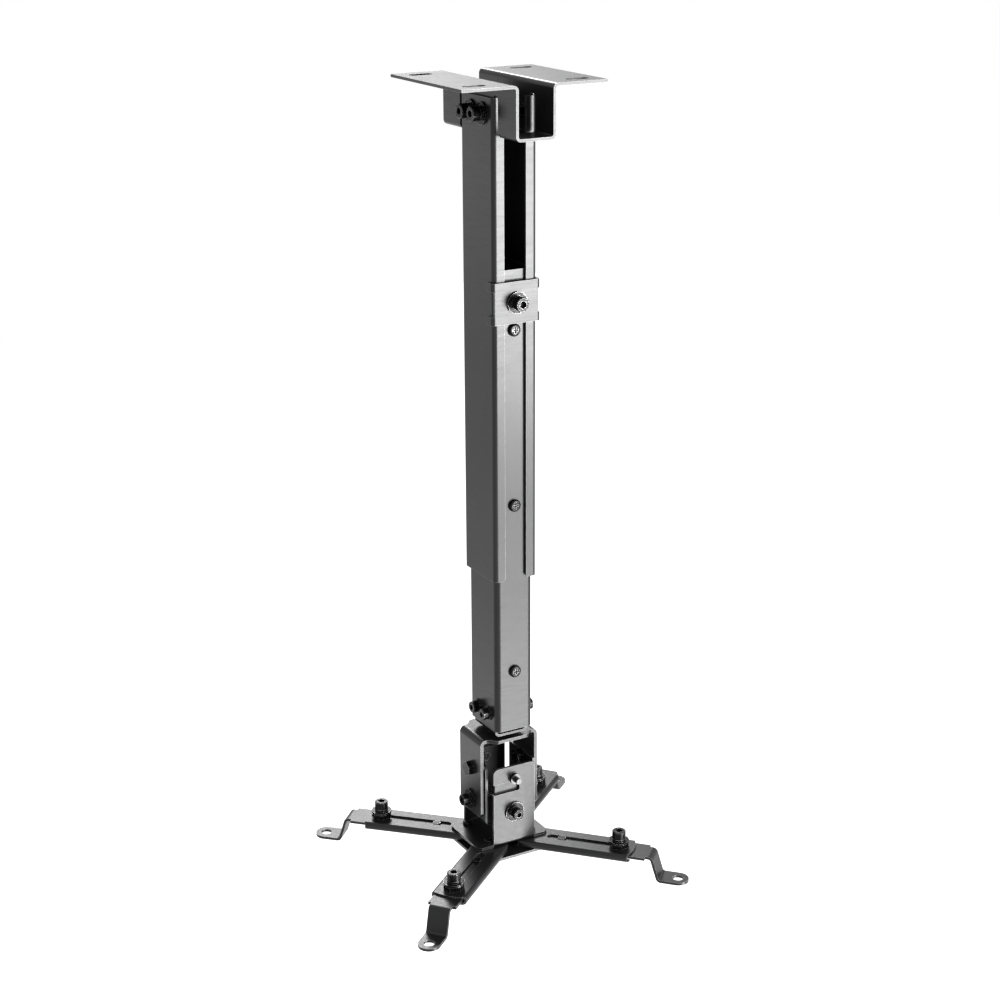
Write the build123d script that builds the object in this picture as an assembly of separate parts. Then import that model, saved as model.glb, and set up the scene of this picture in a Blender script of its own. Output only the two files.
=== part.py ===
from build123d import *

import os

# Telescopic ceiling mount for a projector, in millimetres with +Z up.
# The origin is the centre of the ceiling bracket's top plane.
# The clamp plate and the column's open lips face -Y.

# Ceiling bracket: a hat section folded from sheet, running along Y
bracket_sheet = 2.0
bracket_bend = 2.5
bracket_length = 100.0
flange_reach = 55.0
u_width = 30.2
u_depth = 36.5
ceiling_slot_pitch_x = 78.0
ceiling_slot_pitch_y = 74.0
ceiling_slot_width = 7.0
ceiling_slot_length = 17.0
slit_outer = 26.1
slit_top = -9.0
floor_cut_half_x = 12.1

# Outer column: a C-section with return lips
channel_width = 34.0
channel_depth = 44.4
channel_sheet = 1.8
channel_bend = 2.1
channel_top = -11.0
channel_length = 340.0
lip_gap = 16.8
lip_round = 2.5

# Inner tube
tube_clearance = 0.2
tube_wall = 1.5
tube_corner = 3.9
tube_depth = 40.0
tube_length = 342.5
tube_shown = 118.5
tube_screw_pitch = 127.0
tube_screw_first = 42.0

# Clamp plate on the column's lips
clamp_height = 29.2
clamp_sheet = 1.6
clamp_below_tube_top = 7.5
clamp_ear_height = 6.0
clamp_ear_reach = 8.2
clamp_ear_gap = 0.3
clamp_bend = 1.6
clamp_slide_gap = 0.2
clamp_notch_round = 1.0
clamp_tip_round = 2.0

# Insert in the tube's lower end
insert_sheet = 1.8
insert_depth = 31.0
insert_shift = 0.5
insert_bend = 2.9
insert_leg = 27.0
insert_drop = 5.75
insert_screw_rise = 11.5

# Head: yoke, cradle and lower bracket, all centred on head_y
head_y = 4.2
swivel_washer = 2.0
swivel_washer_radius = 11.0
seat_gap = 0.2
yoke_width = 48.2
yoke_depth = 31.5
yoke_sheet = 2.5
yoke_height = 62.5
yoke_bend = 3.25
yoke_bulge = 5.75
yoke_bulge_round = 3.0
yoke_root_round = 4.0
yoke_bulge_half = 13.0
yoke_bulge_root = 17.5
yoke_chamfer = 3.0
tilt_drop = 27.5
tilt_lock_radius = 25.0
tilt_range = 10.0
cradle_sheet = 2.0
cradle_side_gap = 0.5
cradle_side_depth = 35.0
cradle_above_pivot = 4.5
cradle_below_pivot = 41.0
cradle_tab_width = 30.0
cradle_tab_above_pivot = 3.0
hook_gap = 0.3
lower_sheet = 2.0
lower_depth = 46.4
lower_wall_width = 34.8
lower_bend = 1.6
lower_corner = 4.0
hook_drop = 4.5
hook_wall_above = 9.8
hook_wall_below = 53.5
hook_radius = 4.0
hook_reach = 4.8
hook_slot_height = 8.3
hook_slot_drop = 6.6
hook_slot_reach = 4.6
hook_slot_round = 1.5
hook_tip_radius = 2.2
hook_tip_reach = 9.8
hook_neck_radius = 3.0
hook_rivet_stand = 1.0
roll_lock_radius = 27.3
roll_range = 8.0

# Base plates and arms
base_width = 60.0
base_chamfer = 3.0
lower_plate_depth = 59.4
lower_plate_chamfer = 8.0
plate_gap = 0.2
arm_pivot_x = 17.5
arm_pivot_y = 16.5
arm_angles = (135.8, 219.0, 313.3, 39.0)
arm_width = 27.0
arm_height = 6.0
arm_sheet = 1.2
arm_bend = 1.9
arm_lip = 4.0
arm_length = 81.0
arm_end_bulge = 3.0
arm_slot_start = 13.5
arm_slot_end = 77.0
arm_slot_width = 6.6

# Feet
foot_screw_at = (69.0, 69.0, 69.0, 61.5)
foot_sheet = 2.0
foot_inner_width = 21.4
foot_width = 16.0
foot_bend = 3.0
foot_drop = 18.0
foot_gap = 0.2
foot_tail = 56.0
foot_step = 22.0
foot_upper_bend = 26.5
foot_lower_bend = 32.0
foot_eyelet_at = 45.5
foot_eyelet_radius = 4.0
foot_pin_back = 44.0
foot_pin_radius = 3.0
foot_pin_height = 1.7

# Fasteners
m6 = 6.0
m6_head = 10.0
m6_socket = 5.0
m6_nut_flats = 10.0
m6_nut_height = 5.0
m6_washer = 15.2
m6_washer_sheet = 1.5
m6_spring_sheet = 1.6
m5 = 5.0
m5_head = 8.5
m5_socket = 4.0
m5_nut_flats = 8.0
m5_nut_height = 4.0
m5_washer = 10.6
m5_washer_sheet = 1.0
lock_washer = 15.0
lock_washer_sheet = 1.2
lock_spring_sheet = 1.3
m8 = 8.0
m8_head_height = 5.3
m8_nut_flats = 13.0
m8_nut_height = 6.5
hex_head_height = 4.0
foot_collar_flats = 13.0
foot_collar_height = 3.8
pan_head = 9.0
pan_height = 2.4
pan_thread = 4.0
pivot_head = 8.0
pivot_head_height = 2.8
hole_play = 0.3
spring_play = 0.15
spring_split = 0.8
running_play = 0.08
thread_play = 0.05
socket_share = 0.55
top_screw_spacing = 15.4
top_screw_drop = 22.0
insert_screw_spacing = 15.2

# Levels and faces worked out from the sizes above
channel_bottom = channel_top - channel_length
tube_bottom = channel_bottom - tube_shown
tube_top = tube_bottom + tube_length
tube_width = channel_width - 2 * (channel_sheet + tube_clearance)
tube_front = -tube_depth / 2
channel_front = -channel_depth / 2
clamp_top = tube_top - clamp_below_tube_top
clamp_mid = clamp_top - clamp_height / 2
clamp_back = channel_front - clamp_slide_gap
insert_bottom = tube_bottom - insert_drop
yoke_top = insert_bottom - swivel_washer - seat_gap
tilt_z = yoke_top - tilt_drop
hook_z = tilt_z - hook_drop
hook_hole_radius = hook_radius + running_play
lower_top = hook_z + hook_wall_above
base_bottom = hook_z - hook_wall_below
lower_front = head_y - lower_depth / 2
cradle_outer_half = lower_depth / 2 - lower_sheet - hook_gap
cradle_side_half = yoke_width / 2 - yoke_sheet - cradle_side_gap
arm_top = base_bottom - plate_gap
arm_bottom = arm_top - arm_height
foot_top = arm_top - arm_sheet - foot_gap
arm_pivots = [
    (-arm_pivot_x, head_y + arm_pivot_y),
    (-arm_pivot_x, head_y - arm_pivot_y),
    (arm_pivot_x, head_y - arm_pivot_y),
    (arm_pivot_x, head_y + arm_pivot_y),
]


def folded(plane, points, radius, sheet, half_length):
    """Sheet folded along centre-line points of a plane, spread both ways from it."""
    section = trace(FilletPolyline(*points, radius=radius), line_width=sheet)
    return extrude(plane * section, amount=half_length, both=True)


def cylinder_along(origin, direction, radius, length):
    """Cylinder that starts at origin and runs along direction."""
    return extrude(Plane(origin, z_dir=direction) * Circle(radius), amount=length)


def prism_along(origin, direction, flats, length):
    """Hexagonal prism, its size taken across the flats."""
    outline = RegularPolygon(radius=flats / 2, side_count=6, major_radius=False)
    return extrude(Plane(origin, z_dir=direction) * outline, amount=length)


def stepped(origin, direction, distance):
    """Point at a distance from origin along a unit direction."""
    return tuple(o + d * distance for o, d in zip(origin, direction))


def ring(origin, direction, outer, bore, length):
    """Washer or spacer that starts at origin and runs along direction."""
    body = cylinder_along(origin, direction, outer / 2, length)
    return body - cylinder_along(origin, direction, bore / 2, length)


def spring_ring(origin, direction, outer, thread, length):
    """Split spring washer, closer to its thread than a flat one."""
    body = ring(origin, direction, outer, thread + 2 * spring_play, length)
    return body - Plane(origin, z_dir=direction) * Pos(outer / 2, 0, length / 2) * Box(outer, spring_split, length)


def nut(origin, direction, flats, thread, height):
    """Hexagonal nut with a plain bore."""
    body = prism_along(origin, direction, flats, height)
    return body - cylinder_along(origin, direction, thread / 2 + thread_play, height)


def cap_screw(seat, direction, thread, head, head_height, socket, shank):
    """Socket cap screw: the head's underside is at seat, direction points out of the head."""
    inward = tuple(-d for d in direction)
    body = cylinder_along(seat, direction, head / 2, head_height)
    body = chamfer(body.edges().sort_by(Axis(seat, direction))[-1], head_height * 0.08)
    body += cylinder_along(seat, inward, thread / 2, shank)
    depth = head_height * socket_share
    return body - prism_along(stepped(seat, direction, head_height - depth), direction, socket, depth)


def arc_slot(origin, direction, middle_angle, radius, spread, width, depth):
    """Curved slot about origin, cut through a wall of the given depth each way."""
    plane = Plane(origin, x_dir=(0, 0, -1), z_dir=direction)
    path = CenterArc((0, 0), radius, middle_angle - spread, 2 * spread)
    ends = [Pos(path @ t) * Circle(width / 2) for t in (0, 1)]
    outline = plane * (trace(path, line_width=width) + ends)
    return extrude(outline, amount=depth, both=True)


def arm_frame(index):
    """Placement that turns arm coordinates into the part's frame."""
    x, y = arm_pivots[index]
    return Pos(x, y, 0) * Rot(0, 0, arm_angles[index])


def ceiling_bracket():
    half = bracket_sheet / 2
    wall = u_width / 2 - half
    floor = -u_depth + half
    points = [(-flange_reach, -half), (-wall, -half), (-wall, floor),
              (wall, floor), (wall, -half), (flange_reach, -half)]
    body = folded(Plane.XZ, points, bracket_bend, bracket_sheet, bracket_length / 2)
    slit_inner = channel_depth / 2 - channel_bend - channel_sheet / 2
    slit_width = slit_outer - slit_inner
    slit_middle = slit_top - slit_width / 2 - u_depth
    slit_profile = SlotCenterToCenter(2 * u_depth, slit_width, rotation=90)
    for side in (-1, 1):
        slit = Plane.YZ * Pos(side * (slit_inner + slit_width / 2), slit_middle) * slit_profile
        body -= extrude(slit, amount=u_width, both=True)
    body -= Pos(0, 0, -u_depth) * Box(2 * floor_cut_half_x, 2 * slit_outer, 3 * bracket_sheet)
    slot = SlotOverall(ceiling_slot_length, ceiling_slot_width)
    for place in GridLocations(ceiling_slot_pitch_x, ceiling_slot_pitch_y, 2, 2):
        body -= extrude(place * slot, amount=-bracket_sheet)
    for y in (-top_screw_spacing / 2, top_screw_spacing / 2):
        body -= cylinder_along((-u_width, y, -top_screw_drop), (1, 0, 0),
                               m6 / 2 + hole_play, 2 * u_width)
    return body


def outer_channel():
    half = channel_sheet / 2
    x = channel_width / 2 - half
    y = channel_depth / 2 - half
    lip = lip_gap / 2
    points = [(lip, -y), (x, -y), (x, y), (-x, y), (-x, -y), (-lip, -y)]
    outline = trace(FilletPolyline(*points, radius=channel_bend), line_width=channel_sheet)
    body = extrude(Pos(0, 0, channel_bottom) * outline, amount=channel_length)
    lip_ends = (body.edges().filter_by(Axis.Y)
                .filter_by_position(Axis.Z, channel_bottom - 0.1, channel_bottom + 0.1)
                .filter_by_position(Axis.Y, -channel_depth / 2 - 1, -channel_depth / 2 + channel_sheet + 1))
    body = fillet(lip_ends, lip_round)
    for y in (-top_screw_spacing / 2, top_screw_spacing / 2):
        body -= cylinder_along((-channel_width, y, -top_screw_drop), (1, 0, 0),
                               m6 / 2 + hole_play, 2 * channel_width)
    return body


def top_fasteners():
    """Screws that hold the column's side walls to the bracket's tongues."""
    screws, washers, nuts = [], [], []
    for side in (-1, 1):
        out = (side, 0, 0)
        for y in (-top_screw_spacing / 2, top_screw_spacing / 2):
            wall = (side * channel_width / 2, y, -top_screw_drop)
            inner = (side * (u_width / 2 - bracket_sheet), y, -top_screw_drop)
            spring = stepped(wall, out, m6_washer_sheet)
            seat = stepped(spring, out, m6_spring_sheet)
            washers.append(ring(wall, out, m6_washer, m6 + 2 * hole_play, m6_washer_sheet))
            washers.append(spring_ring(spring, out, m6_head, m6, m6_spring_sheet))
            shank = m6_spring_sheet + m6_washer_sheet + channel_width / 2 - inner[0] * side + m6_nut_height
            screws.append(cap_screw(seat, out, m6, m6_head, m6, m6_socket, shank))
            nuts.append(nut(inner, (-side, 0, 0), m6_nut_flats, m6, m6_nut_height))
    return {"top_screws": screws, "top_washers": washers, "top_nuts": nuts}


def tube_screw_levels():
    return [tube_top - tube_screw_first - i * tube_screw_pitch for i in range(3)]


def insert_screw_places():
    return [(side, y, tube_bottom + insert_screw_rise) for side in (-1, 1)
            for y in (-insert_screw_spacing / 2, insert_screw_spacing / 2)]


def inner_tube():
    outline = RectangleRounded(tube_width, tube_depth, tube_corner)
    hollow = RectangleRounded(tube_width - 2 * tube_wall, tube_depth - 2 * tube_wall,
                              tube_corner - tube_wall)
    body = extrude(Pos(0, 0, tube_bottom) * (outline - hollow), amount=tube_length)
    front = (0, tube_front - 1)
    body -= cylinder_along((*front, clamp_mid), (0, 1, 0), m6 / 2 + hole_play, 1 + 2 * tube_wall)
    for z in tube_screw_levels():
        body -= cylinder_along((*front, z), (0, 1, 0), pan_thread / 2 + thread_play, 1 + 2 * tube_wall)
    for side, y, z in insert_screw_places():
        body -= cylinder_along((0, y, z), (side, 0, 0), m5 / 2 + hole_play, tube_width)
    return body


def tube_screws():
    """Pan-head screws with a cross recess in the front of the inner tube."""
    screws = []
    for z in tube_screw_levels():
        seat = (0, tube_front, z)
        head = cylinder_along(seat, (0, -1, 0), pan_head / 2, pan_height)
        head = fillet(head.edges().sort_by(Axis.Y)[0], pan_height * 0.6)
        recess = Pos(0, tube_front - pan_height, z)
        for turn in (0, 90):
            head -= recess * Rot(0, turn, 0) * Box(pan_head * 0.5, pan_height, pan_head * 0.12)
        screws.append(head + cylinder_along(seat, (0, 1, 0), pan_thread / 2, 3 * tube_wall))
    return screws


def clamp_plate():
    """Plate with four ears folded back over the column's side walls."""
    ear_inner = channel_width / 2 + clamp_ear_gap
    mid = clamp_sheet / 2
    y = clamp_back - mid
    points = [(-ear_inner - mid, y + clamp_ear_reach), (-ear_inner - mid, y),
              (ear_inner + mid, y), (ear_inner + mid, y + clamp_ear_reach)]
    outline = trace(FilletPolyline(*points, radius=clamp_bend), line_width=clamp_sheet)
    body = extrude(Pos(0, 0, clamp_mid) * outline, amount=clamp_height / 2, both=True)
    waist = clamp_height - 2 * clamp_ear_height
    for side in (-1, 1):
        notch = Box(2 * (ear_inner + clamp_sheet - channel_width / 2), 4 * clamp_ear_reach, waist)
        notch = fillet(notch.edges().filter_by(Axis.Y), clamp_notch_round)
        body -= Pos(side * (ear_inner + clamp_sheet), clamp_back, clamp_mid) * notch
    tips = body.edges().filter_by(Axis.X).filter_by_position(Axis.Y, y + clamp_ear_reach - 0.1,
                                                             y + clamp_ear_reach + 0.1)
    body = fillet(tips, clamp_tip_round)
    return body - cylinder_along((0, clamp_back + 1, clamp_mid), (0, -1, 0),
                                 m6 / 2 + hole_play, 2 + clamp_sheet)


def clamp_fasteners():
    out = (0, -1, 0)
    face = (0, clamp_back - clamp_sheet, clamp_mid)
    spring = stepped(face, out, m6_washer_sheet)
    seat = stepped(spring, out, m6_spring_sheet)
    inner = (0, tube_front + tube_wall, clamp_mid)
    shank = inner[1] - seat[1] + m6_nut_height
    return {"clamp_screw": [cap_screw(seat, out, m6, m6_head, m6, m6_socket, shank)],
            "clamp_washers": [spring_ring(spring, out, m6_head, m6, m6_spring_sheet),
                              ring(face, out, m6_washer, m6 + 2 * hole_play, m6_washer_sheet)],
            "clamp_nut": [nut(inner, (0, 1, 0), m6_nut_flats, m6, m6_nut_height)]}


def insert():
    """Folded U that closes the tube's lower end and carries the swivel bolt."""
    mid = insert_sheet / 2
    x = tube_width / 2 - tube_wall - plate_gap - mid
    z = insert_bottom + mid
    points = [(-x, z + insert_leg), (-x, z), (x, z), (x, z + insert_leg)]
    body = Pos(0, insert_shift, 0) * folded(Plane.XZ, points, insert_bend, insert_sheet, insert_depth / 2)
    for side, y, level in insert_screw_places():
        body -= cylinder_along((0, y, level), (side, 0, 0), m5 / 2 + hole_play, tube_width)
    return body - cylinder_along((0, head_y, insert_bottom - 1), (0, 0, 1),
                                 m8 / 2 + thread_play, 2 + insert_sheet)


def insert_fasteners():
    screws, washers, nuts = [], [], []
    inner_x = tube_width / 2 - tube_wall - plate_gap - insert_sheet
    for side, y, z in insert_screw_places():
        out = (side, 0, 0)
        wall = (side * tube_width / 2, y, z)
        seat = stepped(wall, out, m5_washer_sheet)
        washers.append(ring(wall, out, m5_washer, m5 + 2 * hole_play, m5_washer_sheet))
        shank = m5_washer_sheet + tube_width / 2 - inner_x + m5_nut_height
        screws.append(cap_screw(seat, out, m5, m5_head, m5, m5_socket, shank))
        nuts.append(nut((side * inner_x, y, z), (-side, 0, 0), m5_nut_flats, m5, m5_nut_height))
    return {"insert_screws": screws, "insert_washers": washers, "insert_nuts": nuts}


def swivel_parts():
    down = (0, 0, -1)
    seat = (0, head_y, insert_bottom + insert_sheet)
    nut_top = (0, head_y, yoke_top - yoke_sheet - plate_gap)
    shank = seat[2] - nut_top[2] + m8_nut_height + 1
    bolt = prism_along(seat, (0, 0, 1), m8_nut_flats, m8_head_height)
    bolt += cylinder_along(seat, down, m8 / 2, shank)
    washer_face = (0, head_y, insert_bottom)
    return {"swivel_bolt": [bolt],
            "swivel_washer": [ring(washer_face, down, 2 * swivel_washer_radius, m8 + 2 * hole_play, swivel_washer)],
            "swivel_nut": [nut(nut_top, down, m8_nut_flats, m8, m8_nut_height)]}


def yoke():
    """Folded U whose top plate bulges to the front and back."""
    mid = yoke_sheet / 2
    x = yoke_width / 2 - mid
    z = yoke_top - mid
    points = [(-x, z - yoke_height + mid), (-x, z), (x, z), (x, z - yoke_height + mid)]
    body = folded(Plane(origin=(0, head_y, 0), x_dir=(1, 0, 0), z_dir=(0, -1, 0)),
                  points, yoke_bend, yoke_sheet, yoke_depth / 2)
    corners = body.edges().filter_by(Axis.X).group_by(Axis.Z)[0]
    body = chamfer(corners, yoke_chamfer)
    flat = yoke_width / 2 - yoke_bend - yoke_sheet / 2
    edge = yoke_depth / 2
    half = [(flat, 0), (flat, edge), (yoke_bulge_root, edge), (yoke_bulge_half, edge + yoke_bulge)]
    outline = make_face(Polyline(*half, *[(-px, py) for px, py in reversed(half)], close=True))
    outline = fillet(outline.vertices().group_by(Axis.Y)[-1], yoke_bulge_round)
    roots = [v for v in outline.vertices() if abs(v.Y - edge) < 0.01 and abs(v.X) < flat - 0.01]
    outline = fillet(roots, yoke_root_round)
    for turn in (0, 180):
        plate = Pos(0, head_y, yoke_top - yoke_sheet) * Rot(0, 0, turn) * outline
        body += extrude(plate, amount=yoke_sheet)
    pivot = (0, head_y, tilt_z)
    for side in (-1, 1):
        body -= cylinder_along(pivot, (side, 0, 0), m6 / 2 + running_play, yoke_width)
    body -= arc_slot(pivot, (1, 0, 0), 0, tilt_lock_radius, tilt_range + 1, m5 + 2 * hole_play, yoke_width)
    return body - cylinder_along((0, head_y, yoke_top + 1), (0, 0, -1), m8 / 2 + running_play, 2 + yoke_sheet)


def tilt_fasteners():
    bolts, pivot_nuts, locks, washers, lock_nuts = [], [], [], [], []
    inner = cradle_side_half - cradle_sheet
    outer = yoke_width / 2
    lock_z = tilt_z - tilt_lock_radius
    for side in (-1, 1):
        out, back = (side, 0, 0), (-side, 0, 0)
        wall = (side * outer, head_y, tilt_z)
        bolt = prism_along(wall, out, m6_nut_flats, hex_head_height)
        nut_face = (side * (inner - plate_gap), head_y, tilt_z)
        shank = outer - inner + plate_gap + m6_nut_height
        bolts.append(bolt + cylinder_along(wall, back, m6 / 2, shank))
        pivot_nuts.append(nut(nut_face, back, m6_nut_flats, m6, m6_nut_height))
        washer_face = (side * (outer + plate_gap), head_y, lock_z)
        spring = stepped(washer_face, out, lock_washer_sheet)
        seat = stepped(spring, out, lock_spring_sheet)
        washers.append(ring(washer_face, out, lock_washer, m5 + 2 * hole_play, lock_washer_sheet))
        washers.append(spring_ring(spring, out, m5_head, m5, lock_spring_sheet))
        length = seat[0] * side - inner + m5_nut_height
        locks.append(cap_screw(seat, out, m5, m5_head, m5, m5_socket, length))
        lock_nuts.append(nut((side * inner, head_y, lock_z), back, m5_nut_flats, m5, m5_nut_height))
    return {"tilt_pivot_bolts": bolts, "tilt_pivot_nuts": pivot_nuts, "tilt_lock_screws": locks,
            "tilt_lock_washers": washers, "tilt_lock_nuts": lock_nuts}


def cradle():
    """Cross-shaped blank folded up into four walls with open corners."""
    mid = cradle_sheet / 2
    top = tilt_z + cradle_above_pivot
    floor = tilt_z - cradle_below_pivot + mid
    x = cradle_side_half - mid
    y = cradle_outer_half - mid
    side_points = [(-x, top), (-x, floor), (x, floor), (x, top)]
    side_plane = Plane(origin=(0, head_y, 0), x_dir=(1, 0, 0), z_dir=(0, -1, 0))
    body = folded(side_plane, side_points, bracket_bend, cradle_sheet, cradle_side_depth / 2)
    end_top = tilt_z + cradle_tab_above_pivot
    tab_points = [(head_y - y, end_top), (head_y - y, floor), (head_y + y, floor), (head_y + y, end_top)]
    body += folded(Plane.YZ, tab_points, bracket_bend, cradle_sheet, cradle_tab_width / 2)
    lock_z = tilt_z - tilt_lock_radius
    for side in (-1, 1):
        out = (side, 0, 0)
        body -= cylinder_along((0, head_y, tilt_z), out, m6 / 2 + running_play, yoke_width)
        body -= cylinder_along((0, head_y, lock_z), out, m5 / 2 + thread_play, yoke_width)
        front = (0, side, 0)
        body -= cylinder_along((0, head_y, hook_z), front, hook_neck_radius + thread_play, lower_depth)
        body -= cylinder_along((0, head_y, hook_z - roll_lock_radius), front,
                               m5 / 2 + thread_play, lower_depth)
    return body


def hook_studs():
    """Shouldered studs riveted in the cradle's front and back walls."""
    studs = []
    for side in (-1, 1):
        out = (0, side, 0)
        wall = (0, head_y + side * cradle_outer_half, hook_z)
        stud = cylinder_along(wall, out, hook_radius, hook_reach)
        stud += cylinder_along(wall, out, hook_tip_radius, hook_tip_reach)
        stud += cylinder_along(wall, (0, -side, 0), hook_neck_radius, cradle_sheet + hook_rivet_stand)
        studs.append(stud)
    return studs


def hook_opening():
    """Bayonet outline in a wall: a slot from the left edge that ends in a round hole above."""
    left = -lower_wall_width / 2 - hook_slot_round
    right = hook_slot_reach
    slot = RectangleRounded(right - left, hook_slot_height, hook_slot_round)
    slot = Pos((left + right) / 2, hook_z - hook_slot_drop) * slot
    neck = Pos(0, hook_z - hook_slot_drop / 2) * Rectangle(2 * hook_hole_radius, hook_slot_drop)
    return slot + neck + Pos(0, hook_z) * Circle(hook_hole_radius)


def lower_bracket():
    """Base plate with two hook walls folded up from its front and back edges."""
    mid = lower_sheet / 2
    y = lower_depth / 2 - mid
    z = base_bottom + mid
    points = [(head_y - y, lower_top), (head_y - y, z), (head_y + y, z), (head_y + y, lower_top)]
    body = folded(Plane.YZ, points, lower_bend, lower_sheet, lower_wall_width / 2)
    top_corners = body.edges().filter_by(Axis.Y).group_by(Axis.Z)[-1]
    body = fillet(top_corners, lower_corner)
    plate = chamfer(Rectangle(base_width, lower_depth - lower_sheet / 2).vertices(), base_chamfer)
    flat = lower_depth - 2 * lower_bend - lower_sheet
    plate -= Rectangle(lower_wall_width, lower_depth) - Rectangle(lower_wall_width, flat)
    body += extrude(Pos(0, head_y, base_bottom) * plate, amount=lower_sheet)
    opening = extrude(Plane.XZ * hook_opening(), amount=lower_depth, both=True)
    body -= opening
    body -= arc_slot((0, head_y, hook_z), (0, 1, 0), 0, roll_lock_radius, roll_range + 1,
                     m5 + 2 * hole_play, lower_depth)
    for px, py in arm_pivots:
        body -= cylinder_along((px, py, base_bottom - 1), (0, 0, 1), m5 / 2 + thread_play, lower_sheet + 2)
    return body


def roll_lock_fasteners():
    screws, washers, nuts = [], [], []
    z = hook_z - roll_lock_radius
    inner = cradle_outer_half - cradle_sheet
    for side in (-1, 1):
        out = (0, side, 0)
        face = (0, head_y + side * (lower_depth / 2 + plate_gap), z)
        spring = stepped(face, out, lock_washer_sheet)
        seat = stepped(spring, out, lock_spring_sheet)
        washers.append(ring(face, out, lock_washer, m5 + 2 * hole_play, lock_washer_sheet))
        washers.append(spring_ring(spring, out, m5_head, m5, lock_spring_sheet))
        length = (seat[1] - head_y) * side - inner + m5_nut_height
        screws.append(cap_screw(seat, out, m5, m5_head, m5, m5_socket, length))
        nuts.append(nut((0, head_y + side * inner, z), (0, -side, 0), m5_nut_flats, m5, m5_nut_height))
    return {"roll_lock_screws": screws, "roll_lock_washers": washers, "roll_lock_nuts": nuts}


def lower_base_plate():
    outline = chamfer(Rectangle(base_width, lower_plate_depth).vertices(), lower_plate_chamfer)
    body = extrude(Pos(0, head_y, arm_bottom - plate_gap - lower_sheet) * outline, amount=lower_sheet)
    for px, py in arm_pivots:
        body -= cylinder_along((px, py, arm_bottom), (0, 0, -1), m5 / 2 + thread_play, lower_sheet + 1)
    return body


def arm_pivot_fasteners():
    screws, nuts = [], []
    plate_bottom = arm_bottom - plate_gap - lower_sheet
    for px, py in arm_pivots:
        seat = (px, py, base_bottom + lower_sheet)
        head = cylinder_along(seat, (0, 0, 1), pivot_head / 2, pivot_head_height)
        head = fillet(head.edges().group_by(Axis.Z)[-1], pivot_head_height * 0.5)
        head -= Pos(px, py, seat[2] + pivot_head_height) * Box(pivot_head * 0.6, 1.0, pivot_head_height)
        shank = seat[2] - plate_bottom + m5_nut_height
        screws.append(head + cylinder_along(seat, (0, 0, -1), m5 / 2, shank))
        nuts.append(nut((px, py, plate_bottom), (0, 0, -1), m5_nut_flats, m5, m5_nut_height))
    return {"arm_pivot_screws": screws, "arm_pivot_nuts": nuts}


def arm(index):
    """Shallow inverted C with curled lips, round at the pivot and arched at its end."""
    mid = arm_sheet / 2
    y = arm_width / 2 - mid
    top, bottom = arm_top - mid, arm_bottom + mid
    points = [(-y + arm_lip, bottom), (-y, bottom), (-y, top), (y, top), (y, bottom), (y - arm_lip, bottom)]
    body = folded(Plane.YZ, points, arm_bend, arm_sheet, arm_length + arm_width)
    half = arm_width / 2
    straight = arm_length - arm_end_bulge
    edge = [Line((0, -half), (straight, -half)), ThreePointArc((straight, -half), (arm_length, 0), (straight, half)),
            Line((straight, half), (0, half)), ThreePointArc((0, half), (-half, 0), (0, -half))]
    body &= extrude(Pos(0, 0, arm_bottom - 1) * make_face(edge), amount=arm_height + 2)
    slot_length = arm_slot_end - arm_slot_start
    slot = Pos(arm_slot_start + slot_length / 2, 0, arm_top + 1) * SlotOverall(slot_length, arm_slot_width)
    body -= extrude(slot, amount=-arm_sheet - 2)
    body -= cylinder_along((0, 0, arm_top + 1), (0, 0, -1), m5 / 2 + running_play, arm_sheet + 2)
    return arm_frame(index) * body


def foot(index):
    """Strip with a Z-bend: wide inside the arm, narrow and round at the eyelet."""
    mid = foot_sheet / 2
    upper, lower = foot_top - mid, foot_top - foot_drop - mid
    at = foot_screw_at[index]
    tip = at + foot_eyelet_at + foot_width / 2
    points = [(at - foot_tail, upper), (at + foot_upper_bend, upper),
              (at + foot_lower_bend, lower), (tip, lower)]
    body = folded(Plane.XZ, points, foot_bend, foot_sheet, foot_inner_width / 2)
    start, step = at - foot_tail, at + foot_step
    half, wide = foot_width / 2, foot_inner_width / 2
    eyelet = at + foot_eyelet_at
    edge = [Polyline((eyelet, -half), (step, -half), (step, -wide), (start, -wide), (start, wide),
                     (step, wide), (step, half), (eyelet, half)),
            ThreePointArc((eyelet, half), (tip, 0), (eyelet, -half))]
    body &= extrude(Pos(0, 0, lower - foot_bend) * make_face(edge), amount=foot_drop + 2 * foot_bend)
    body -= cylinder_along((eyelet, 0, lower - 2), (0, 0, 1), foot_eyelet_radius, 2 * foot_sheet)
    body -= cylinder_along((at, 0, upper - 2), (0, 0, 1), m6 / 2 + thread_play, 2 * foot_sheet)
    body -= cylinder_along((at - foot_pin_back, 0, upper - 2), (0, 0, 1),
                           foot_pin_radius * 0.6 + thread_play, 2 * foot_sheet)
    return arm_frame(index) * body


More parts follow.
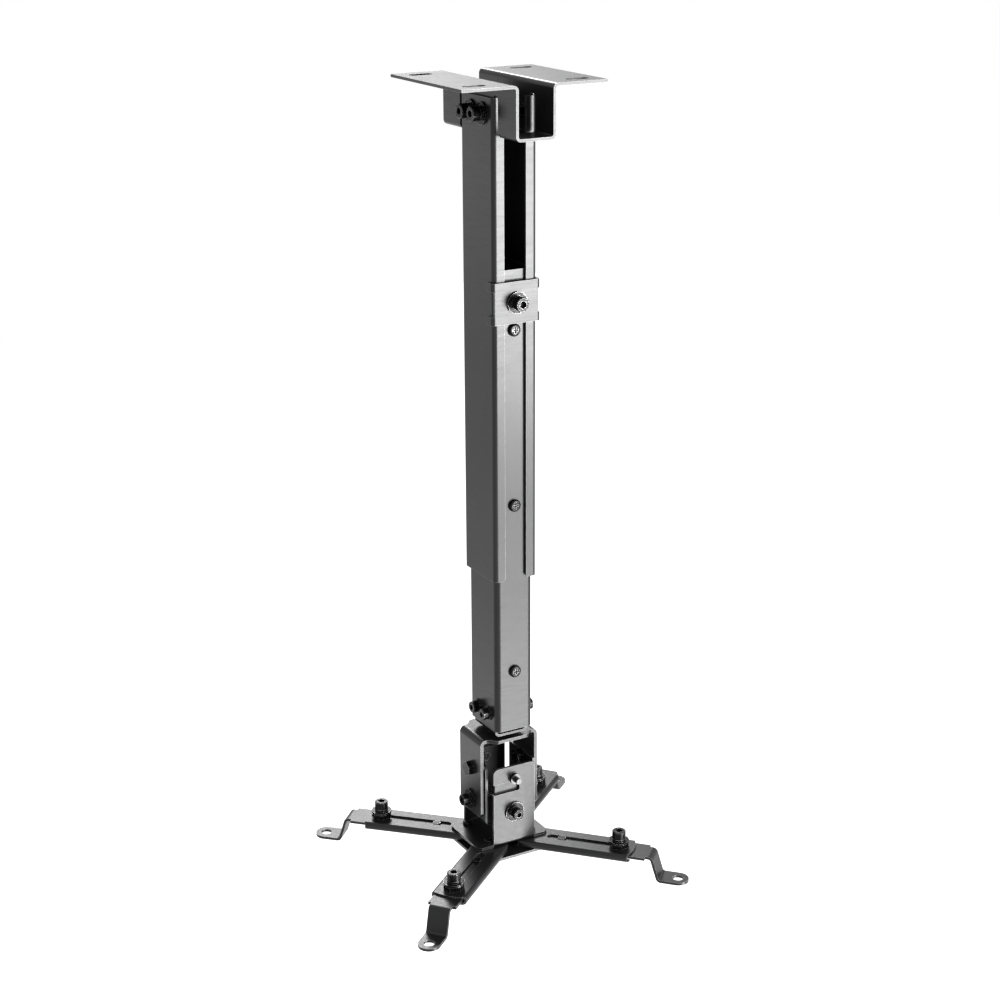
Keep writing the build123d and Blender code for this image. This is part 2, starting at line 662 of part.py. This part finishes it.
def foot_fasteners(index):
    """Screw stack through the arm's slot, its nut and the guide pin of one foot."""
    up = (0, 0, 1)
    at = foot_screw_at[index]
    collar = (at, 0, arm_top + plate_gap)
    washer = stepped(collar, up, foot_collar_height)
    spring = stepped(washer, up, m6_washer_sheet)
    seat = stepped(spring, up, m6_spring_sheet)
    nut_top = foot_top - foot_sheet
    shank = seat[2] - nut_top + m6_nut_height + 1
    collar_body = prism_along(collar, up, foot_collar_flats, foot_collar_height)
    collar_body -= cylinder_along(collar, up, m6 / 2 + hole_play + spring_play, foot_collar_height)
    rings = [collar_body, ring(washer, up, m6_washer, m6 + 2 * hole_play, m6_washer_sheet),
             spring_ring(spring, up, m6_head, m6, m6_spring_sheet)]
    pin = (at - foot_pin_back, 0, foot_top)
    pin_body = cylinder_along(pin, up, foot_pin_radius, foot_pin_height)
    pin_body += cylinder_along(pin, (0, 0, -1), foot_pin_radius * 0.6, foot_sheet)
    frame = arm_frame(index)
    name = str(index + 1)
    screw = cap_screw(seat, up, m6, m6_head, m6, m6_socket, shank)
    back = nut((at, 0, nut_top), (0, 0, -1), m6_nut_flats, m6, m6_nut_height)
    return {"foot_screw_" + name: [frame * screw],
            "foot_washers_" + name: [frame * body for body in rings],
            "foot_nut_" + name: [frame * back],
            "foot_pin_" + name: [frame * pin_body]}


def all_parts():
    parts = {"ceiling_bracket": ceiling_bracket(), "outer_channel": outer_channel(),
             "inner_tube": inner_tube(), "tube_screws": tube_screws(), "clamp_plate": clamp_plate(),
             "insert": insert(), "yoke": yoke(), "cradle": cradle(), "hook_studs": hook_studs(),
             "lower_bracket": lower_bracket(), "lower_base_plate": lower_base_plate()}
    for group in (top_fasteners(), clamp_fasteners(), insert_fasteners(), swivel_parts(),
                  tilt_fasteners(), roll_lock_fasteners(), arm_pivot_fasteners()):
        parts.update(group)
    for index in range(len(arm_angles)):
        parts["arm_" + str(index + 1)] = arm(index)
        parts["foot_" + str(index + 1)] = foot(index)
        parts.update(foot_fasteners(index))
    return parts


os.makedirs("parts", exist_ok=True)
for name, shape in all_parts().items():
    solids = [s for piece in (shape if isinstance(shape, list) else [shape]) for s in piece.solids()]
    export_step(solids[0] if len(solids) == 1 else Compound(solids), "parts/" + name + ".step")
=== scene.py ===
import math

import bpy
from mathutils import Matrix, Vector

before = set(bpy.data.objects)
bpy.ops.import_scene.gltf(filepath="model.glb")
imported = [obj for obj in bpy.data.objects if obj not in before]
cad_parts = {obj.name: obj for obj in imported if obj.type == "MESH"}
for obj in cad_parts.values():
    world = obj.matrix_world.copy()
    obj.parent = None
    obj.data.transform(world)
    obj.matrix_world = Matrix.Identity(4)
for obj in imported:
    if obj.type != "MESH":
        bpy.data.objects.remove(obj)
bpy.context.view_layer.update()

# Camera, from the photograph's perspective
camera_place = (-0.6680, -1.1795, 0.1606)
camera_azimuth = 29.52
camera_pitch = 18.69
camera_roll = -0.27
camera_lens = 72.158
camera_sensor = 36.0
camera_nearest = 0.01

# Studio
white = (1.0, 1.0, 1.0, 1.0)
floor_z = -1.9
floor_size = 14.0
floor_cells = 8
floor_tone = (0.80, 0.80, 0.80)
floor_shade = 0.995
floor_cloud = 0.8
floor_roughness = 0.9
floor_glow = 0.35
surround_strength = 1.0
display_gamma = 0.75

# Soft boxes: place, point they face, width and height, power
soft_boxes = {
    "upper_front_box": ((0.52, -0.95, -0.23), (0.0, 0.0, -0.12), (0.60, 0.60), 22.0),
    "lower_front_box": ((0.52, -0.95, -1.10), (0.0, 0.0, -0.52), (0.60, 0.76), 15.0),
    "upper_left_box": ((-0.86, 1.53, -0.30), (0.0, 0.0, -0.05), (0.60, 0.40), 0.6),
    "lower_left_box": ((-0.86, 1.53, -1.40), (0.0, 0.0, -0.48), (0.60, 0.30), 0.7),
    "back_box": ((1.43, 3.73, 2.20), (0.0, 0.0, -0.50), (1.50, 1.30), 78.0),
}

# Pieces that carry the paint, and how many arms and feet there are
column_nodes = ("ceiling_bracket", "outer_channel", "inner_tube", "clamp_plate", "insert")
head_nodes = ("yoke", "cradle", "lower_bracket", "lower_base_plate")
limb_count = 4

# Satin paint: a cloudy tone, brushing stretched along the sheet, a fine grain and a painted highlight on the
# cut edges, in patches
paint_tone = (0.016, 0.016, 0.017)
paint_cloud_scale = 26.0
paint_cloud_span = (0.35, 0.65)
paint_cloud_shades = (0.85, 1.15)
paint_brush_scale = 900.0
paint_brush_span = (0.3, 0.7)
paint_brush_bump = 0.25
column_brushing = (0.06, 0.06, 1.0)
sheet_brushing = (0.5, 0.5, 0.5)
paint_grain_scale = 2600.0
paint_grain_bump = 0.14
paint_edge_highlight_tone = (0.46, 0.46, 0.47)
paint_edge_highlight_width = 0.0004
paint_edge_highlight_scale = 300.0
paint_edge_highlight_span = (0.32, 0.58)
paint_edge_highlight_share = (0.30, 0.85)
paint_roughness = (0.29, 0.36)
paint_specular = 0.6

# Black oxide: a mottled tone, an uneven sheen, a fine grain and a painted highlight on the edges, in patches
oxide_tones = ((0.006, 0.006, 0.006), (0.030, 0.030, 0.031))
oxide_mottle_scale = 700.0
oxide_mottle_span = (0.35, 0.70)
oxide_grain_scale = 5200.0
oxide_grain_bump = 0.15
oxide_rim_highlight_tone = (0.80, 0.80, 0.80)
oxide_rim_highlight_width = 0.0003
oxide_rim_highlight_scale = 500.0
oxide_rim_highlight_span = (0.30, 0.60)
oxide_rim_highlight_share = (0.45, 0.9)
oxide_sheen_scale = 1100.0
oxide_sheen_span = (0.3, 0.7)
oxide_roughness = (0.20, 0.36)
oxide_metal = 0.65

# Depth of every grain, and the cosine of a rounded edge's normal to its face, from the full painted edge
# highlight to none
grain_depth = 0.00003
edge_cosines = (0.86, 0.995)
edge_samples = 4

# The hook studs' tips, painted lighter as a highlight, start this far from the head's middle, along Y
head_y = 0.0042
stud_highlight_from = 0.0257
stud_highlight_tone = (0.09, 0.09, 0.09)


class Nodes:
    """A material's node tree, with short calls for what the finishes share."""

    def __init__(self, name):
        self.material = bpy.data.materials.new(name)
        self.material.use_nodes = True
        self.tree = self.material.node_tree
        self.shader = self.tree.nodes["Principled BSDF"]
        self.place = self.add("ShaderNodeTexCoord").outputs["Object"]

    def add(self, kind, **settings):
        node = self.tree.nodes.new(kind)
        for key, value in settings.items():
            setattr(node, key, value)
        return node

    def link(self, source, target):
        self.tree.links.new(source, target)

    def noise(self, scale, detail=2.0, stretch=None):
        node = self.add("ShaderNodeTexNoise")
        node.inputs["Scale"].default_value = scale
        node.inputs["Detail"].default_value = detail
        place = self.place
        if stretch:
            mapping = self.add("ShaderNodeMapping")
            mapping.inputs["Scale"].default_value = stretch
            self.link(place, mapping.inputs["Vector"])
            place = mapping.outputs["Vector"]
        self.link(place, node.inputs["Vector"])
        return node.outputs["Fac"]

    def ranged(self, value, span, result=(0.0, 1.0)):
        """Turns the span's two ends into the result's, and keeps what lies beyond them at the ends."""
        node = self.add("ShaderNodeMapRange")
        sockets = ("From Min", "From Max", "To Min", "To Max")
        for socket, number in zip(sockets, (*span, *result)):
            node.inputs[socket].default_value = number
        self.link(value, node.inputs["Value"])
        return node.outputs["Result"]

    def maths(self, operation, a, b=0.0):
        node = self.add("ShaderNodeMath", operation=operation)
        for socket, value in zip(node.inputs, (a, b)):
            if isinstance(value, float):
                socket.default_value = value
            else:
                self.link(value, socket)
        return node.outputs["Value"]

    def mixed(self, share, first, second):
        """Colour from first to second as the share goes from 0 to 1. Each is a tone or a socket."""
        node = self.add("ShaderNodeMix", data_type="RGBA")
        self.link(share, node.inputs["Factor"])
        colours = [socket for socket in node.inputs if socket.type == "RGBA"]
        for socket, value in zip(colours, (first, second)):
            if isinstance(value, tuple):
                socket.default_value = (*value, 1.0)
            else:
                self.link(value, socket)
        return next(socket for socket in node.outputs if socket.type == "RGBA")

    def edges(self, radius):
        """1 near the sheet's cut edges and 0 on its flats."""
        bevel = self.add("ShaderNodeBevel", samples=edge_samples)
        bevel.inputs["Radius"].default_value = radius
        shape = self.add("ShaderNodeNewGeometry")
        dot = self.add("ShaderNodeVectorMath", operation="DOT_PRODUCT")
        self.link(bevel.outputs["Normal"], dot.inputs[0])
        self.link(shape.outputs["Normal"], dot.inputs[1])
        return self.ranged(dot.outputs["Value"], edge_cosines, (1.0, 0.0))

    def bump(self, height, strength, distance):
        node = self.add("ShaderNodeBump")
        node.inputs["Strength"].default_value = strength
        node.inputs["Distance"].default_value = distance
        self.link(height, node.inputs["Height"])
        self.link(node.outputs["Normal"], self.shader.inputs["Normal"])


def shaded(tone, share):
    return tuple(channel * share for channel in tone)


def black_paint(name, brushing):
    """Satin black coat over sheet steel: faint brushing under it, a fine grain and a painted highlight on
    the cut edges.
    """
    n = Nodes(name)
    cloud = n.ranged(n.noise(paint_cloud_scale, detail=4.0), paint_cloud_span)
    darker, lighter = (shaded(paint_tone, share) for share in paint_cloud_shades)
    colour = n.mixed(cloud, darker, lighter)
    brush = n.noise(paint_brush_scale, detail=3.0, stretch=brushing)
    grain = n.noise(paint_grain_scale)
    # The cut edges get a painted highlight, a pale grey broken into noise patches
    patches = n.ranged(n.noise(paint_edge_highlight_scale, detail=3.0), paint_edge_highlight_span, paint_edge_highlight_share)
    painted_edge_highlight = n.maths("MULTIPLY", n.edges(paint_edge_highlight_width), patches)
    n.link(n.mixed(painted_edge_highlight, colour, paint_edge_highlight_tone), n.shader.inputs["Base Color"])
    n.link(n.ranged(brush, paint_brush_span, paint_roughness), n.shader.inputs["Roughness"])
    n.shader.inputs["Specular IOR Level"].default_value = paint_specular
    height = n.maths("ADD", grain, n.maths("MULTIPLY", brush, paint_brush_bump))
    n.bump(height, paint_grain_bump, grain_depth)
    return n.material


def black_oxide(name, highlight_from=None):
    """Black oxide on steel: mottled, with an oily sheen and a painted highlight on the edges, and a painted
    highlight of even, lighter grey beyond the given distance.
    """
    n = Nodes(name)
    mottle = n.ranged(n.noise(oxide_mottle_scale, detail=4.0), oxide_mottle_span)
    colour = n.mixed(mottle, *oxide_tones)
    # The edges get a painted highlight, a pale grey broken into noise patches
    patches = n.ranged(n.noise(oxide_rim_highlight_scale), oxide_rim_highlight_span, oxide_rim_highlight_share)
    rim_highlight_mask = n.maths("MULTIPLY", n.edges(oxide_rim_highlight_width), patches)
    colour = n.mixed(rim_highlight_mask, colour, oxide_rim_highlight_tone)
    # Beyond the given distance from the head's middle along Y, the stud tips are painted an even lighter
    # grey, a painted highlight
    if highlight_from:
        along = n.add("ShaderNodeSeparateXYZ")
        n.link(n.place, along.inputs["Vector"])
        out = n.maths("ABSOLUTE", n.maths("SUBTRACT", along.outputs["Y"], head_y))
        colour = n.mixed(n.maths("GREATER_THAN", out, highlight_from), colour, stud_highlight_tone)
    n.link(colour, n.shader.inputs["Base Color"])
    sheen = n.ranged(n.noise(oxide_sheen_scale), oxide_sheen_span, oxide_roughness)
    n.link(sheen, n.shader.inputs["Roughness"])
    n.shader.inputs["Metallic"].default_value = oxide_metal
    n.bump(n.noise(oxide_grain_scale), oxide_grain_bump, grain_depth)
    return n.material


def pale_floor(name):
    """Matt material for the floor, which isn't part of the object."""
    n = Nodes(name)
    cloud = n.ranged(n.noise(floor_cloud), (0.0, 1.0))
    colour = n.mixed(cloud, floor_tone, shaded(floor_tone, floor_shade))
    n.link(colour, n.shader.inputs["Base Color"])
    n.shader.inputs["Roughness"].default_value = floor_roughness
    n.shader.inputs["Emission Color"].default_value = white
    n.shader.inputs["Emission Strength"].default_value = floor_glow
    return n.material


def finish_nodes():
    """Gives every carried-over node the finish its place on the mount has."""
    column = black_paint("column_black", column_brushing)
    sheet = black_paint("sheet_black", sheet_brushing)
    limbs = [f"{kind}_{k + 1}" for kind in ("arm", "foot") for k in range(limb_count)]
    finishes = dict.fromkeys(column_nodes, column) | dict.fromkeys((*head_nodes, *limbs), sheet)
    finishes["hook_studs"] = black_oxide("stud_black", stud_highlight_from)
    black = black_oxide("oxide_black")
    for name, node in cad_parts.items():
        node.data.materials.clear()
        node.data.materials.append(finishes.get(name, black))


def light(name, place, target, size, power):
    """Rectangular soft box that faces a point and isn't seen itself."""
    data = bpy.data.lights.new(name, "AREA")
    data.shape = "RECTANGLE"
    data.size, data.size_y = size
    data.energy = power
    lamp = bpy.data.objects.new(name, data)
    bpy.context.scene.collection.objects.link(lamp)
    lamp.location = place
    lamp.visible_camera = False
    lamp.rotation_euler = (Vector(target) - Vector(place)).to_track_quat("-Z", "Y").to_euler()


def studio():
    """Pale floor, white surroundings and soft lights that the black faces mirror."""
    cells = {"x_subdivisions": floor_cells, "y_subdivisions": floor_cells}
    bpy.ops.mesh.primitive_grid_add(size=floor_size, location=(0, 0, floor_z), **cells)
    floor = bpy.context.object
    floor.name = "floor"
    floor.data.materials.append(pale_floor("floor_white"))
    world = bpy.data.worlds.new("studio")
    bpy.context.scene.world = world
    world.use_nodes = True
    around = world.node_tree.nodes["Background"]
    around.inputs["Color"].default_value = white
    around.inputs["Strength"].default_value = surround_strength
    for name, settings in soft_boxes.items():
        light(name, *settings)


def photo_camera():
    """Camera at the photograph's place, turned from +Y by its azimuth, down by its pitch, then rolled."""
    a, p, r = (math.radians(v) for v in (camera_azimuth, camera_pitch, camera_roll))
    right = Vector((math.cos(a), -math.sin(a), 0.0))
    ahead = Vector((math.sin(a) * math.cos(p), math.cos(a) * math.cos(p), -math.sin(p)))
    up = right.cross(ahead)
    side = math.cos(r) * right + math.sin(r) * up
    top = math.cos(r) * up - math.sin(r) * right
    data = bpy.data.cameras.new("photo_camera")
    data.lens = camera_lens
    data.sensor_width = camera_sensor
    data.clip_start = camera_nearest
    camera = bpy.data.objects.new("photo_camera", data)
    bpy.context.scene.collection.objects.link(camera)
    turn = Matrix((side, top, -ahead)).transposed()
    camera.matrix_world = Matrix.Translation(camera_place) @ turn.to_4x4()
    bpy.context.scene.camera = camera


finish_nodes()
studio()
photo_camera()
bpy.context.scene.view_settings.view_transform = "Standard"
bpy.context.scene.view_settings.gamma = display_gamma
